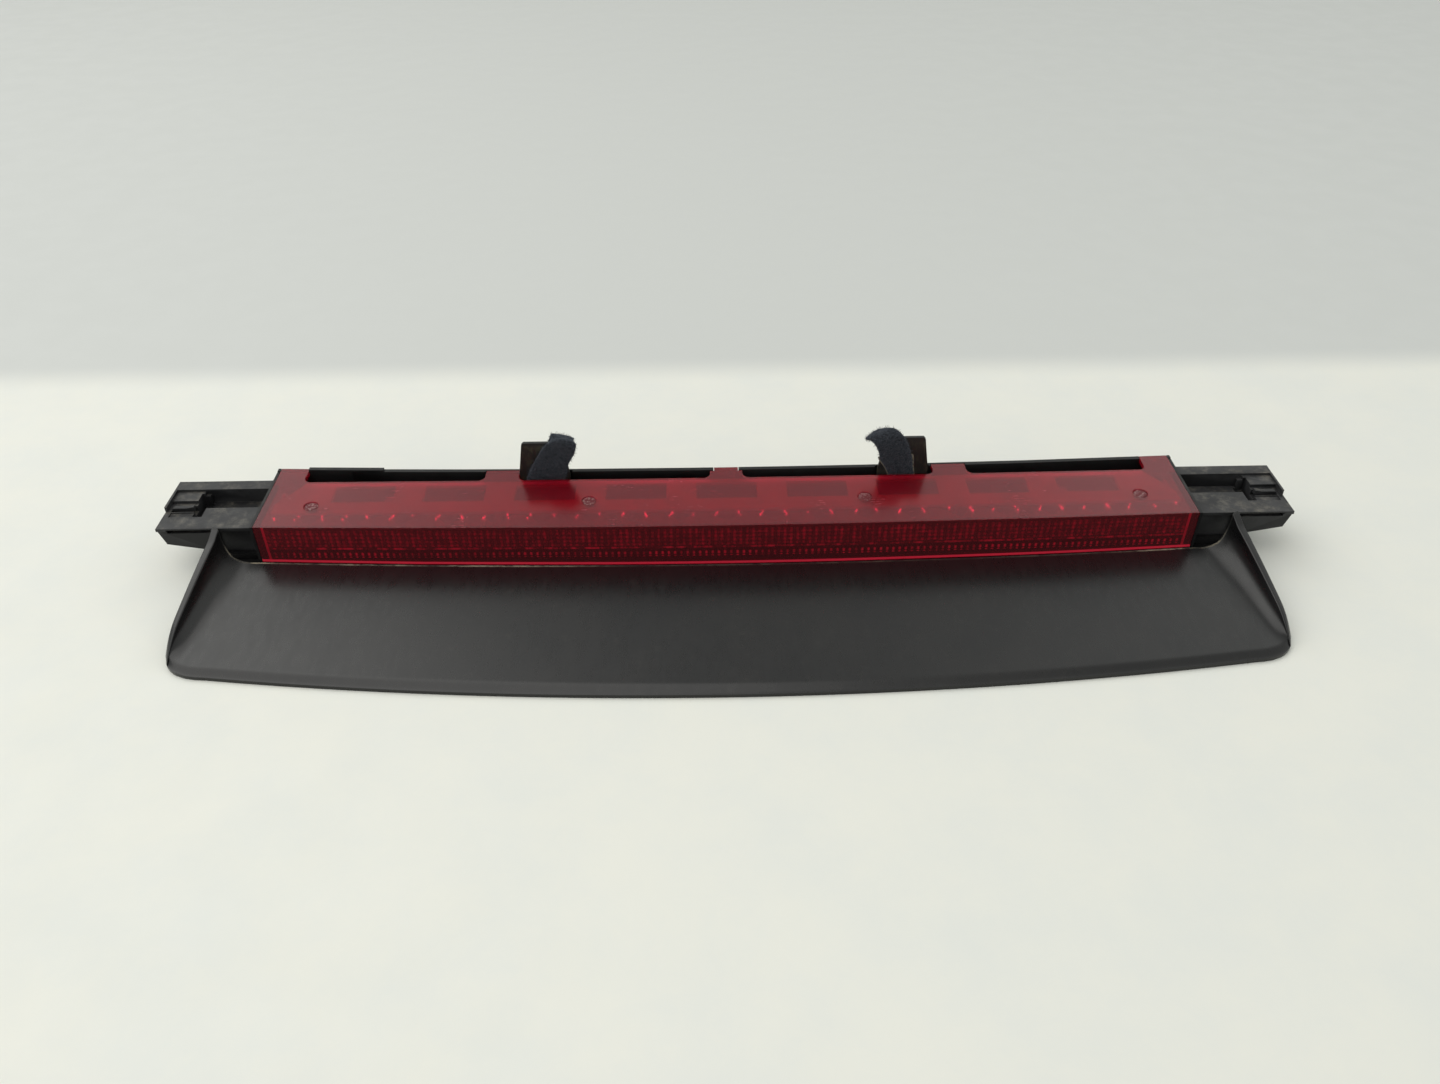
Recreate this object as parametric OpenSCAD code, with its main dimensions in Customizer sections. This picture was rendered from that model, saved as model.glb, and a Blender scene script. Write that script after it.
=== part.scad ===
// High-mount brake lamp with a light shield: a bowed red lens on a black housing,
// guide blocks on both ends, sprung rear tabs with felt pads and a scoop-shaped visor.
// X runs along the lamp, Y runs from the visor's front edge to the back wall, Z is up.
// The lamp stands on the visor's front edge and on two feet below the back wall.

/* [Lens] */
// Width of the red lens
lens_w = 375; // [365:1:376]
// Height of the lens's top face above the ground
lens_top = 26; // [26:0.25:27]
// Thickness of the lens's top plate
lens_plate = 2; // [1.6:0.1:2]
// Thickness of the lens's front wall
lens_front = 2.2; // [1.8:0.1:2.4]
// How far the lens's front face bows forward at its middle
front_bow = 3.4; // [2.6:0.1:3.6]
// Depth of the lens's top plate at its ends, from the front face to the rear slots
lens_depth = 31.4; // [31:0.1:32]
// How far the rear slots' front edges bow forward at the middle
middle_bow = 1.4; // [1:0.1:1.6]

/* [Housing] */
// Distance from the lens's front face to the outside of the back wall, at the ends
back_y = 41.7; // [41.2:0.1:42.5]
// How far the back wall bows forward at its middle
back_bow = 4; // [3.4:0.1:4.2]
// Thickness of the housing's walls
wall = 2; // [1.8:0.1:2.2]
// Height of the underside of the housing's floor above the ground
floor_z = 4; // [3.8:0.1:4.1]

/* [Visor] */
// Half of the visor's width at its widest
visor_half = 211.3; // [209:0.1:213]
// Distance from the lens's front face to the visor's front edge, at the middle
visor_reach = 72.3; // [66:0.1:76]
// Thickness of the visor's floor
visor_wall = 2.4; // [2:0.1:2.6]
// Height of the visor's side lips above the ground, at their rear ends
lip_rear_z = 23.2; // [21:0.1:24]
// Radius of the sweep from the visor's floor up to its side lips, at the rear
sweep_r = 11.5; // [9:0.5:14]

/* [End blocks] */
// Half of the overall width, to the tips of the end blocks
tip_x = 228.7; // [228:0.1:231]
// Height of the rear flange of an end block above the ground
flange_z = 24.3; // [24:0.1:25]
// Height of the front flange of an end block above the ground
step_z = 22; // [21.8:0.1:22.4]
// Width of the guide groove
groove_w = 10; // [9:0.1:10]
// Depth of the guide groove below the rear flange
groove_depth = 6.3; // [5:0.1:6.5]

/* [Rear tabs] */
// Distance between the middles of the two rear tabs
tab_spacing = 150; // [146:1:154]
// Width of a rear tab at its top
tab_w = 16.4; // [12:0.1:17]
// Width of a rear tab at its foot
tab_foot_w = 21.2; // [17:0.1:21.4]
// Thickness of a rear tab
tab_t = 1.5; // [1.2:0.1:1.6]
// Height of the top of a rear tab above the ground
tab_top = 41.5; // [36:0.5:44]

/* [Light source] */
// Distance between neighbouring light-emitting diodes
led_pitch = 18.7; // [18.4:0.1:18.8]
// Radius of a light-emitting diode's body
led_r = 2.5; // [2.2:0.1:2.6]

/* [Hidden] */

$fn = 48;
eps = 0.01;
gap = 0.05;

half = lens_w / 2;                        // half of the lens's width
lens_y = (visor_reach - back_y) / 2;      // the lens's front face at its ends, from the frame's origin
plate_z = lens_top - lens_plate;          // underside of the lens's top plate
deck_z = floor_z + wall;                  // top of the housing's floor
rim_x = half + 1.4;                       // outside of the housing's end walls
back_top = lens_top;                      // top of the back wall
arc_steps = 24;                           // straight pieces in each bowed edge

// Rear slots in the lens's top plate: inner and outer end of the two slots of one half
inner_slot = [6.8, 86.6];
outer_slot = [100.7, half - 11.8];

// Partition that closes the lamp chamber, in front of the channel for the tabs
partition_y = lens_depth + 0.8;
partition_t = 1.5;
carrier_z = 21.6;
carrier_t = 1.2;
carrier_front = 12.2;

// Circuit board and what stands on it
board_z = deck_z + 6;
board_t = 1.6;
board_top = board_z + board_t;
board_half = half - 7;
board_front = 16;
board_rear = 28;
led_count = 20;
led_z = board_top + 3;
led_front = 12.6;
window_count = 9;
window_pitch = 2 * led_pitch;

// Plug socket in the back wall
socket_x = 120;
socket_w = 18;
socket_h = 9.8;
socket_z = board_top + 0.4;
socket_front = 29.3;
socket_wall = 1.7;
pin_side = 4;

// Screws
visor_screw_x = [-140, -50, 50, 140];
visor_screw_y = 22;
board_screw_x = [-120, 0, 120];
board_screw_y = 24;
block_screw_x = 200;
block_screw_y = [12, 26];
screw_r = 1.45;
hole_r = 1.5;

// End block places, counted from the lens's front face
block_x = rim_x + 0.3;
block_front = 5.2;
block_rear = 35.5;
groove_front = 19.5;
groove_end = 214;
pit_end = 217;
rim_wall = 1;
pad_t = 3;
wing_end = 209.5;

// Snap tongue
tongue_y = 18;
tongue_w = 2;
tongue_root = 226.4;
tongue_z = 21.4;
tongue_t = 1.6;
tongue_slot = 1;

// Rear tabs: the middles of the left and right one; a tab's front face, the underside of its foot,
// and its length above the foot's middle
tab_x = [-tab_spacing / 2 - 0.9, tab_spacing / 2 - 0.9];
tab_y = 34.2;
tab_foot = deck_z + 0.3;
tab_h = tab_top - tab_foot - tab_t / 2;
notch_w = tab_foot_w + 1.6;
notch_z = deck_z + 6;

// Felt strip: its thickness and the height of its fold above the tab
felt_t = 1.4;
felt_low = 22.4;
felt_top = tab_top + 4.7;

// Distance that a bowed edge lies in front of its ends' line, at x
function bow(x, sag) = -sag * (1 - pow(x / half, 2));
function edge(x0, x1, y, sag) =
    [for (i = [0:arc_steps]) let (x = x0 + (x1 - x0) * i / arc_steps) [x, y + bow(x, sag)]];
function smooth(t) = let (c = min(1, max(0, t))) c * c * (3 - 2 * c);

// Moves a piece from the lens's own coordinates to the frame
module placed() {
    translate([0, lens_y, 0]) children();
}

// A plate between two bowed edges, from z0 to z1
module bowed(x0, x1, front, front_sag, rear, rear_sag, z0, z1) {
    translate([0, 0, z0])
        linear_extrude(z1 - z0)
            polygon(concat(edge(x0, x1, front, front_sag), edge(x1, x0, rear, rear_sag)));
}

module block(x, y, z) {
    translate([x[0], y[0], z[0]]) cube([x[1] - x[0], y[1] - y[0], z[1] - z[0]]);
}

// Draws the children on the right and their mirror image on the left
module both_sides() {
    children();
    mirror([1, 0, 0]) children();
}

// An opening in plan with rounded front corners: x from 0 to length, y from 0 backwards
module slot_plan(length, depth, r) {
    translate([r, 0]) square([length - 2 * r, depth]);
    translate([0, r]) square([length, depth - r]);
    for (x = [r, length - r]) translate([x, r]) circle(r);
}

// One rear slot of the lens, between the distances ends[0] and ends[1] from the middle
module lens_slot(ends) {
    y0 = lens_depth + bow(ends[0], middle_bow);
    y1 = lens_depth + bow(ends[1], middle_bow);
    tilt = atan((y1 - y0) / (ends[1] - ends[0]));
    translate([ends[0], y0, plate_z - 1])
        rotate(tilt)
            linear_extrude(lens_plate + 2)
                slot_plan(ends[1] - ends[0], 20, 3);
}

stake_places = [for (x = [168, 56]) for (s = [-1, 1]) [s * x, x > 100 ? 14 : 15]];

module outer_lens() {
    lug_rear = back_y - 1;
    color([0.62, 0.05, 0.08, 0.75])
        placed() difference() {
            union() {
                bowed(-half, half, 0, front_bow, back_y, back_bow, plate_z, lens_top);
                bowed(-half, half, 0, front_bow, lens_front, front_bow, deck_z + gap, plate_z + eps);
                both_sides()
                    block([half - lens_front, half], [0, lens_depth - 1], [deck_z + gap, plate_z + eps]);
            }
            both_sides() {
                lens_slot(inner_slot);
                lens_slot(outer_slot);
                // the middle lug narrows and the side lugs stop short of the wall's outer rim
                block([5, 8], [back_y - back_bow - wall - 0.6, back_y + 1], [plate_z - 1, lens_top + 1]);
                block([inner_slot[1] - 1, outer_slot[0] + 1], [lug_rear + bow(95, back_bow), back_y + 1],
                    [plate_z - 1, lens_top + 1]);
            }
            for (p = stake_places) translate([p[0], p[1], 0]) {
                translate([0, 0, plate_z - 1]) cylinder(r = 2.05, h = lens_plate + 2);
                translate([0, 0, lens_top - 0.8]) cylinder(r = 3, h = 1);
            }
        }
}

// Clear bar of collimators: one domed cell in front of each light-emitting diode
module inner_optic() {
    bar_front = 4.6;
    mouth = 5.5;
    throat = 2.6;
    rear = led_front - 0.5;
    color([0.85, 0.86, 0.88, 0.6])
        placed() translate([0, 0, led_z - 6.2]) linear_extrude(11) intersection() {
            for (i = [0:led_count - 1]) {
                x = (i - (led_count - 1) / 2) * led_pitch;
                translate([x, bow(x, middle_bow)]) {
                    polygon([[-led_pitch / 2, bar_front], [led_pitch / 2, bar_front],
                        [led_pitch / 2, mouth], [throat + 2.6, rear - 2.4], [throat, rear],
                        [-throat, rear], [-throat - 2.6, rear - 2.4], [-led_pitch / 2, mouth]]);
                    intersection() {
                        translate([0, bar_front + 9.6]) circle(11.4);
                        translate([-7, bar_front - 4]) square([14, 4 + eps]);
                    }
                }
            }
            translate([-board_half - 4, 0]) square([2 * board_half + 8, 20]);
        }
}

module reflector_frame() {
    window_w = 25;
    rear = partition_y + partition_t - 0.3;
    leg_x = board_half + 2.5;
    color([0.75, 0.74, 0.72])
        placed() difference() {
            union() {
                bowed(-leg_x - 1.5, leg_x + 1.5, carrier_front, middle_bow, rear, middle_bow,
                    carrier_z, carrier_z + carrier_t);
                // partition ribs and end legs below the deck
                both_sides() {
                    block([93.2, 94.4], [carrier_front + 1, 30], [board_top + 1, carrier_z + eps]);
                    block([leg_x, leg_x + 1.2], [16, 29], [deck_z + gap, carrier_z + eps]);
                }
            }
            for (i = [-(window_count - 1) / 2:(window_count - 1) / 2]) {
                x = i * window_pitch;
                translate([x - window_w / 2, 19.8 + bow(x, middle_bow), carrier_z - 1])
                    cube([window_w, 11, carrier_t + 2]);
            }
            // the deck's rear corners are cut off at a slant
            both_sides() translate([0, 0, carrier_z - 0.5]) linear_extrude(carrier_t + 1)
                polygon([[leg_x - 8.5, rear + 1], [leg_x + 2, rear + 1], [leg_x + 2, carrier_front + 5]]);
        }
}

module circuit_board() {
    color([0.16, 0.36, 0.22])
        placed() difference() {
            block([-board_half, board_half], [board_front, board_rear], [board_z, board_top]);
            for (x = board_screw_x)
                translate([x, board_screw_y, board_z - 1]) cylinder(r = 1.7, h = board_t + 2);
        }
}

// A light-emitting diode that looks towards the front, with its two legs bent down to the board
module led() {
    dome = led_front + led_r;
    rotate([-90, 0, 0]) {
        translate([0, 0, dome]) cylinder(r = led_r, h = 4.4);
        translate([0, 0, dome + 3.4]) cylinder(r = led_r + 0.4, h = 1);
    }
    translate([0, dome, 0]) sphere(led_r);
    for (x = [-1.27, 1.27]) {
        block([x - 0.25, x + 0.25], [dome + 4.2, dome + 6.2], [-0.25, 0.25]);
        block([x - 0.25, x + 0.25], [dome + 5.7, dome + 6.2], [board_top - led_z, 0.2]);
    }
}

module leds() {
    color([0.9, 0.25, 0.22])
        placed() for (i = [0:led_count - 1]) {
            x = (i - (led_count - 1) / 2) * led_pitch;
            translate([x, bow(x, middle_bow), led_z]) led();
        }
}

module resistors() {
    color([0.12, 0.12, 0.13])
        placed() for (i = [-2:2]) for (y = [22.4, 25.2]) {
            x = i * window_pitch - 6;
            block([x - 1.6, x + 1.6], [y - 0.8, y + 0.8], [board_top, board_top + 0.6]);
        }
}

module diodes() {
    color([0.08, 0.08, 0.08])
        placed() for (x = [-3 * window_pitch, 3 * window_pitch]) {
            block([x - 2.3, x + 2.3], [22.6, 25.4], [board_top + 0.2, board_top + 2.4]);
            for (s = [-1, 1])
                block([x + s * 2.6 - 0.6, x + s * 2.6 + 0.6], [23.3, 24.7], [board_top, board_top + 0.5]);
        }
}

module voltage_regulator() {
    x = 2.1 * window_pitch;
    color([0.1, 0.1, 0.1]) placed() {
        block([x - 3.3, x + 3.3], [20.6, 26.8], [board_top + 0.1, board_top + 2.4]);
        block([x - 2.7, x + 2.7], [26.7, 27.6], [board_top, board_top + 0.6]);
        for (s = [-1, 1])
            block([x + s * 2.3 - 0.4, x + s * 2.3 + 0.4], [19.2, 20.7], [board_top, board_top + 0.5]);
    }
}

module capacitors() {
    color([0.6, 0.61, 0.63])
        placed() for (x = [-3.72 * window_pitch, 3.72 * window_pitch]) {
            block([x - 3, x + 3], [21.9, 27.9], [board_top, board_top + 0.8]);
            translate([x, 24.9, board_top + 0.7]) cylinder(r = 2.9, h = 4.6);
        }
}

// Socket for the plug, open towards the back
module connector_socket() {
    rear = back_y + bow(socket_x, back_bow) - 0.2;
    color([0.13, 0.13, 0.14])
        placed() difference() {
            block([socket_x - socket_w / 2, socket_x + socket_w / 2], [socket_front, rear],
                [socket_z - socket_h / 2, socket_z + socket_h / 2]);
            block([socket_x - socket_w / 2 + socket_wall, socket_x + socket_w / 2 - socket_wall],
                [socket_front + socket_wall, rear + 1],
                [socket_z - socket_h / 2 + socket_wall, socket_z + socket_h / 2 - socket_wall]);
            // keyway in the roof and the two holes that the pins come through
            block([socket_x - 1.5, socket_x + 1.5], [socket_front + 4, rear + 1],
                [socket_z, socket_z + socket_h / 2 - 0.7]);
            for (s = [-1, 1])
                block([socket_x + s * pin_side - 0.45, socket_x + s * pin_side + 0.45],
                    [socket_front - 1, socket_front + 4], [board_top - gap, board_top + 0.85]);
        }
}

module terminal_pins() {
    color([0.78, 0.72, 0.5])
        placed() for (s = [-1, 1])
            block([socket_x + s * pin_side - 0.4, socket_x + s * pin_side + 0.4],
                [board_rear - 2.5, socket_front + 7.8], [board_top, board_top + 0.8]);
}

// Whether a rib at x stays clear of the visor's arms and of the feet
function rib_is_clear(x) =
    min([for (a = visor_screw_x) abs(x - a)]) > 9 && abs(abs(x) - 100) > 5;

module housing() {
    channel_rear = back_y - wall;
    color([0.1, 0.1, 0.11])
        placed() difference() {
            union() {
                bowed(-rim_x, rim_x, 0.3, front_bow, back_y, back_bow, floor_z, deck_z);
                bowed(-rim_x, rim_x, channel_rear, back_bow, back_y, back_bow, deck_z - eps, back_top);
                bowed(-half - 0.4, half + 0.4, partition_y, middle_bow,
                    partition_y + partition_t, middle_bow, deck_z - eps, carrier_z - gap);
                both_sides() {
                    // end wall, raised rim, wing and pad below the end block, and foot
                    block([half + 0.3, rim_x], [0.3, back_y - 0.1], [deck_z - eps, lens_top - 0.3]);
                    block([rim_x - eps, wing_end], [0.3, 34.4], [floor_z, deck_z]);
                    block([rim_x - eps, wing_end], [5.4, 34.4], [deck_z - eps, deck_z + pad_t]);
                    block([97, 103], [25, 36], [0, floor_z + eps]);
                }
                // cheeks beside the tabs' feet
                for (middle = tab_x) for (x = [middle - tab_foot_w / 2 - 1.5, middle + tab_foot_w / 2 + 0.3])
                    block([x, x + 1.2], [partition_y - 1, back_y - 4.6], [deck_z - eps, deck_z + 5]);
                // raised part of the back wall, on the left only
                bowed(-outer_slot[1] - 0.4, -144, channel_rear, back_bow, back_y, back_bow,
                    back_top - eps, back_top + 0.8);
                for (x = visor_screw_x)
                    translate([x, visor_screw_y, deck_z - eps]) cylinder(r = 3.6, h = 5);
                for (x = board_screw_x)
                    translate([x, board_screw_y, deck_z - eps])
                        cylinder(r = 3, h = board_z - deck_z - gap + eps);
                // stiffening ribs across the underside
                for (x = [-165:15:165]) if (rib_is_clear(x))
                    block([x - 0.6, x + 0.6], [4, 34], [floor_z - 1.2, floor_z + eps]);
            }
            // seats of the lens's lugs in the back wall, and the wide gap of the middle lug
            both_sides() {
                block([outer_slot[1] - 0.2, half + 0.2], [channel_rear - 3, back_y + 1],
                    [plate_z - gap, lens_top + 1]);
                block([inner_slot[1] - 0.3, outer_slot[0] + 0.3],
                    [channel_rear - 5, back_y - 0.9 + bow(95, back_bow)], [plate_z - gap, lens_top + 1]);
            }
            // recesses in the back wall that let the tabs bend backwards
            for (middle = tab_x)
                block([middle - notch_w / 2, middle + notch_w / 2],
                    [channel_rear - 5, tab_y + tab_t + 1.7], [notch_z, lens_top + 1]);
            block([-5.3, 5.3], [channel_rear - 6, back_y + 1], [plate_z - gap, lens_top + 1]);
            // window for the plug socket
            block([socket_x - socket_w / 2 - gap, socket_x + socket_w / 2 + gap],
                [partition_y - 2, back_y + 1],
                [socket_z - socket_h / 2 - gap, socket_z + socket_h / 2 + gap]);
            for (x = visor_screw_x)
                translate([x, visor_screw_y, floor_z - 1]) cylinder(r = hole_r, h = 7.4);
            for (x = board_screw_x)
                translate([x, board_screw_y, deck_z + 0.6]) cylinder(r = 1.25, h = 8);
            for (s = [-1, 1]) for (y = block_screw_y)
                translate([s * block_screw_x, y, floor_z - 1]) cylinder(r = 1.8, h = wall + pad_t + 2);
        }
}

// Visor: a sheet of points, across[i] from the left lip to the right lip, along v from rear to front
side_rear = 4.6;
corner_w = 16.3;
corner_d = 12.7;
side_front = corner_d - visor_reach + 13.6;
front_top = 2.6;
front_rows = 4;
rows = concat([0, 0.03], [for (i = [1:11]) 0.03 + 0.89 * i / 11], [0.95, 0.975, 0.99, 1]);
fold_steps = 6;
floor_steps = 20;

function outer_x(v) = visor_half - 5.7 * (1 - pow(v, 0.8));
function rear_y(x) = -0.5 + bow(min(abs(x), half), front_bow)
    + (side_rear + 0.5) * smooth((abs(x) - half - 10) / (visor_half - 5.7 - half - 10));
function front_y(x) = let (a = abs(x), c = visor_half - corner_w)
    a < c ? 13.6 * pow(a / c, 2) - visor_reach
          : 13.6 - visor_reach + corner_d * (1 - sqrt(max(0, 1 - pow((a - c) / corner_w, 2))));
function floor_top(x, v) = let (rear = 6.9 + 2 * pow(min(abs(x), half) / half, 2), s = pow(v, 0.9))
    rear + (front_top - rear) * s - 1.1 * smooth((v - 0.93) / 0.07);
function lip_top(v) = let (y = side_rear + (side_front - side_rear) * v)
    min(lip_rear_z, lip_rear_z - 3 + 0.31 * y + 0.35 * max(0, y) - 4.2 * pow(max(0, -32 - y) / 14, 2));
function lip_t(v) = 3.2 - v;
function fold_w(v) = sweep_r - 7 * v;
// Height of the lip above the floor, and the part of it that the sweep takes up
function lip_h(v) = max(0.3, lip_top(v) - floor_top(visor_half, v));
function fold_h(v) = min(sweep_r, max(0, lip_h(v) - 0.8));

// One half's points at row v, from the lip to the middle: [distance in from the outer line, z]
function lip_inner(v) = let (t = lip_t(v), z = floor_top(visor_half, v), h = lip_h(v)) concat(
    [[0, z + h - 0.3], [0.4, z + h], [t - 0.4, z + h], [t, z + h - 0.4 * min(1, h)]],
    [for (k = [0:fold_steps]) let (a = 90 * k / fold_steps)
        [t + 0.02 + fold_w(v) * (1 - cos(a)), z + fold_h(v) * (1 - sin(a))]]);
function lip_outer(v) = let (t = lip_t(v), z = floor_top(visor_half, v), h = lip_h(v),
        low = max(0, z - visor_wall), turn = z + fold_h(v) - 0.1 * visor_wall) concat(
    [for (k = [0:3]) [0.02 * k, z + h - 0.4 + (turn - z - h + 0.4) * k / 3]],
    [for (k = [0:fold_steps]) let (a = 90 * k / fold_steps)
        [0.08 + (fold_w(v) + t) * (1 - cos(a)), low + (turn - low) * (1 - sin(a))]]);

function row_points(v, top) = let (
        side = top ? lip_inner(v) : lip_outer(v),
        w = outer_x(v),
        inside = w - lip_t(v) - 0.12 - fold_w(v),
        left = [for (p = side) [-w + p[0], p[1]]],
        middle = [for (i = [1:floor_steps - 1]) let (x = inside * (2 * i / floor_steps - 1))
            [x, top ? floor_top(x, v) : max(0, floor_top(x, v) - visor_wall)]],
        right = [for (i = [len(side) - 1:-1:0]) [w - side[i][0], side[i][1]]])
    [for (p = concat(left, middle, right)) let (r = rear_y(p[0]), f = front_y(min(visor_half, abs(p[0]))))
        [p[0], r + (f - r) * v, p[1]]];

module visor_shell() {
    top = [for (v = rows) each row_points(v, true)];
    low = [for (v = rows) each row_points(v, false)];
    m = len(rows);
    n = len(top) / m;
    all = len(top);
    // triangles of one sheet cell; the upper sheet faces up and the lower sheet faces down
    upper = [for (j = [0:m - 2]) for (i = [0:n - 2]) let (a = j * n + i, b = a + n)
        each [[a, a + 1, b + 1], [a, b + 1, b]]];
    lower = [for (f = upper) [f[2] + all, f[1] + all, f[0] + all]];
    rim = concat([for (i = [0:n - 2]) i], [for (j = [0:m - 2]) j * n + n - 1],
        [for (i = [n - 1:-1:1]) (m - 1) * n + i], [for (j = [m - 1:-1:1]) j * n]);
    band = [for (k = [0:len(rim) - 1]) let (a = rim[k], b = rim[(k + 1) % len(rim)])
        each [[a, a + all, b + all], [a, b + all, b]]];
    polyhedron(points = concat(top, low), faces = concat(upper, lower, band), convexity = 6);
}

module visor() {
    arm_w = 15;
    arm_low = 2;
    color([0.22, 0.22, 0.225])
        placed() {
            difference() {
                union() {
                    visor_shell();
                    // four arms that run back below the housing
                    for (x = visor_screw_x) {
                        front = bow(x, front_bow) - 9;
                        block([x - arm_w / 2, x + arm_w / 2], [front, visor_screw_y + 5],
                            [arm_low, floor_z - 0.1]);
                        block([x - arm_w / 2, x + arm_w / 2], [front, front + 6.5],
                            [arm_low, floor_top(x, 0.1) - 1.2]);
                    }
                }
                for (x = visor_screw_x)
                    translate([x, visor_screw_y, arm_low - 1]) cylinder(r = 1.8, h = 4);
            }
        }
}

// Right-hand end block; the left one is its mirror image
module end_block() {
    low = deck_z + pad_t + gap;
    difference() {
        union() {
            translate([0, block_rear - 0.3, 0]) rotate([90, 0, 0])
                linear_extrude(block_rear - 0.9 - block_front)
                    polygon([[block_x, low], [wing_end + 0.5, low], [wing_end + 2.5, low + 2.2],
                        [tip_x - 2.4, 14], [tip_x - 0.3, step_z - 1.8], [tip_x - 0.3, step_z],
                        [block_x, step_z]]);
            block([block_x, tip_x], [block_front, groove_front], [step_z - 1.4, step_z]);
            block([block_x, tip_x], [groove_front + groove_w, block_rear], [step_z - 1, flange_z]);
            // shelf behind the tongue, and the rim round the block's outer end
            block([pit_end - 1, tip_x], [22.8, groove_front + groove_w + eps], [step_z - 1, flange_z - 1]);
            block([tip_x - rim_wall, tip_x], [tongue_y - tongue_slot, block_rear], [step_z - 1, flange_z]);
        }
        // guide groove, open towards the lens, and the pit at its outer end
        block([block_x - 1, groove_end], [groove_front, groove_front + groove_w],
            [flange_z - groove_depth, flange_z + 1]);
        block([groove_end - 1, pit_end], [13.4, 28], [flange_z - groove_depth - 1, flange_z + 1]);
        // room around and below the snap tongue
        block([pit_end - eps, tongue_root + gap],
            [tongue_y - tongue_slot, tongue_y + tongue_w + tongue_slot], [tongue_z - 1.9, flange_z + 1]);
        block([pit_end - eps, tip_x - 2.3], [13.4, tongue_y - tongue_slot - 0.4],
            [step_z - 0.5, flange_z + 1]);
        // shadow groove below the front flange, deeper beside the lens
        block([wing_end - 4.5, tip_x - 4], [block_front - 1, block_front + 2.4],
            [step_z - 2.6, step_z - 0.7]);
        block([block_x - 1, wing_end - 4.5], [block_front - 1, block_front + 2.4], [low - 1, step_z - 2]);
        for (y = block_screw_y)
            translate([block_screw_x, y, low - 1]) cylinder(r = hole_r, h = 7.6);
    }
}

module end_block_right() {
    color([0.2, 0.2, 0.21]) placed() end_block();
}
module end_block_left() {
    color([0.2, 0.2, 0.21]) placed() mirror([1, 0, 0]) end_block();
}

// Sprung catch that points inwards: a ramp at its free end, and a round root, where it bends
module snap_tongue() {
    free = pit_end + 0.3;
    r = tongue_t / 2;
    block([free, tongue_root - r], [tongue_y, tongue_y + tongue_w], [tongue_z, tongue_z + tongue_t]);
    translate([tongue_root - r, tongue_y, tongue_z + r]) rotate([-90, 0, 0]) cylinder(r = r, h = tongue_w);
    translate([0, tongue_y + tongue_w, 0]) rotate([90, 0, 0]) linear_extrude(tongue_w)
        polygon([[free, tongue_z + 0.6], [free, tongue_z + tongue_t + 0.5],
            [free + 0.8, tongue_z + tongue_t + 0.5], [free + 3, tongue_z + tongue_t - eps],
            [free + 3, tongue_z + 0.6]]);
}
module snap_tongue_right() {
    color([0.26, 0.26, 0.27]) placed() snap_tongue();
}
module snap_tongue_left() {
    color([0.26, 0.26, 0.27]) placed() mirror([1, 0, 0]) snap_tongue();
}

// Rear tab: an upright plate that narrows upwards, with a round foot, where it bends
module rear_tab(middle) {
    r = tab_t / 2;
    shoulder = lens_top - tab_foot - r;
    translate([middle, tab_y, tab_foot + r]) {
        translate([0, tab_t, 0]) rotate([90, 0, 0]) linear_extrude(tab_t)
            polygon([[-tab_foot_w / 2, 0], [tab_foot_w / 2, 0], [tab_foot_w / 2, shoulder],
                [tab_w / 2 + 0.1, tab_h - 0.8], [tab_w / 2 - 0.7, tab_h], [0.7 - tab_w / 2, tab_h],
                [-tab_w / 2 - 0.1, tab_h - 0.8], [-tab_foot_w / 2, shoulder]]);
        translate([-tab_foot_w / 2, r, 0]) rotate([0, 90, 0]) cylinder(r = r, h = tab_foot_w);
    }
}
module rear_tab_right() {
    color([0.12, 0.12, 0.12]) placed() rear_tab(tab_x[1]);
}
module rear_tab_left() {
    color([0.12, 0.12, 0.12]) placed() rear_tab(tab_x[0]);
}

// Felt strip on the tab's front face; it leans towards the middle and folds over the tab
module felt() {
    low = [66.9, 82.6];
    high = [62.8, 76.4];
    translate([0, tab_y - 0.1, 0]) rotate([90, 0, 0]) linear_extrude(felt_t)
        polygon([[low[0], felt_low], [low[1], felt_low], [high[1], felt_top - 1.2],
            [high[1] - 1.2, felt_top], [high[0] + 1.2, felt_top], [high[0], felt_top - 1.2]]);
    block([high[0] + 0.6, high[1] - 0.6], [tab_y - 0.2, tab_y + 3.4], [tab_top + 0.3, felt_top - 0.6]);
}
module felt_right() {
    color([0.14, 0.15, 0.18]) placed() felt();
}
module felt_left() {
    color([0.14, 0.15, 0.18]) placed() mirror([1, 0, 0]) felt();
}

// Stakes that hold the lens down on the reflector frame
module lens_stakes() {
    color([0.45, 0.3, 0.3])
        placed() for (p = stake_places) translate([p[0], p[1], 0]) {
            translate([0, 0, carrier_z + carrier_t])
                cylinder(r = 2, h = lens_top - carrier_z - carrier_t - 0.3);
            translate([0, 0, lens_top - 0.75]) cylinder(r = 2.7, h = 0.6);
        }
}

// Pan-head screw that points up, its head's bearing face at z = 0
module screw(length, r, head_r, head_h) {
    translate([0, 0, -head_h / 3]) cylinder(r = r, h = length + head_h / 3);
    difference() {
        translate([0, 0, -head_h]) cylinder(r = head_r, h = head_h);
        for (a = [0, 90]) rotate(a)
            translate([-head_r * 0.6, -0.35, -head_h - 1]) cube([head_r * 1.2, 0.7, 1 + head_h * 0.55]);
    }
}

module visor_screws() {
    color([0.6, 0.6, 0.62])
        placed() for (x = visor_screw_x) translate([x, visor_screw_y, 2]) screw(8, screw_r, 3, 1.7);
}

module end_block_screws() {
    color([0.6, 0.6, 0.62])
        placed() for (s = [-1, 1]) for (y = block_screw_y)
            translate([s * block_screw_x, y, floor_z]) screw(11, screw_r, 3, 1.7);
}

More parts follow.
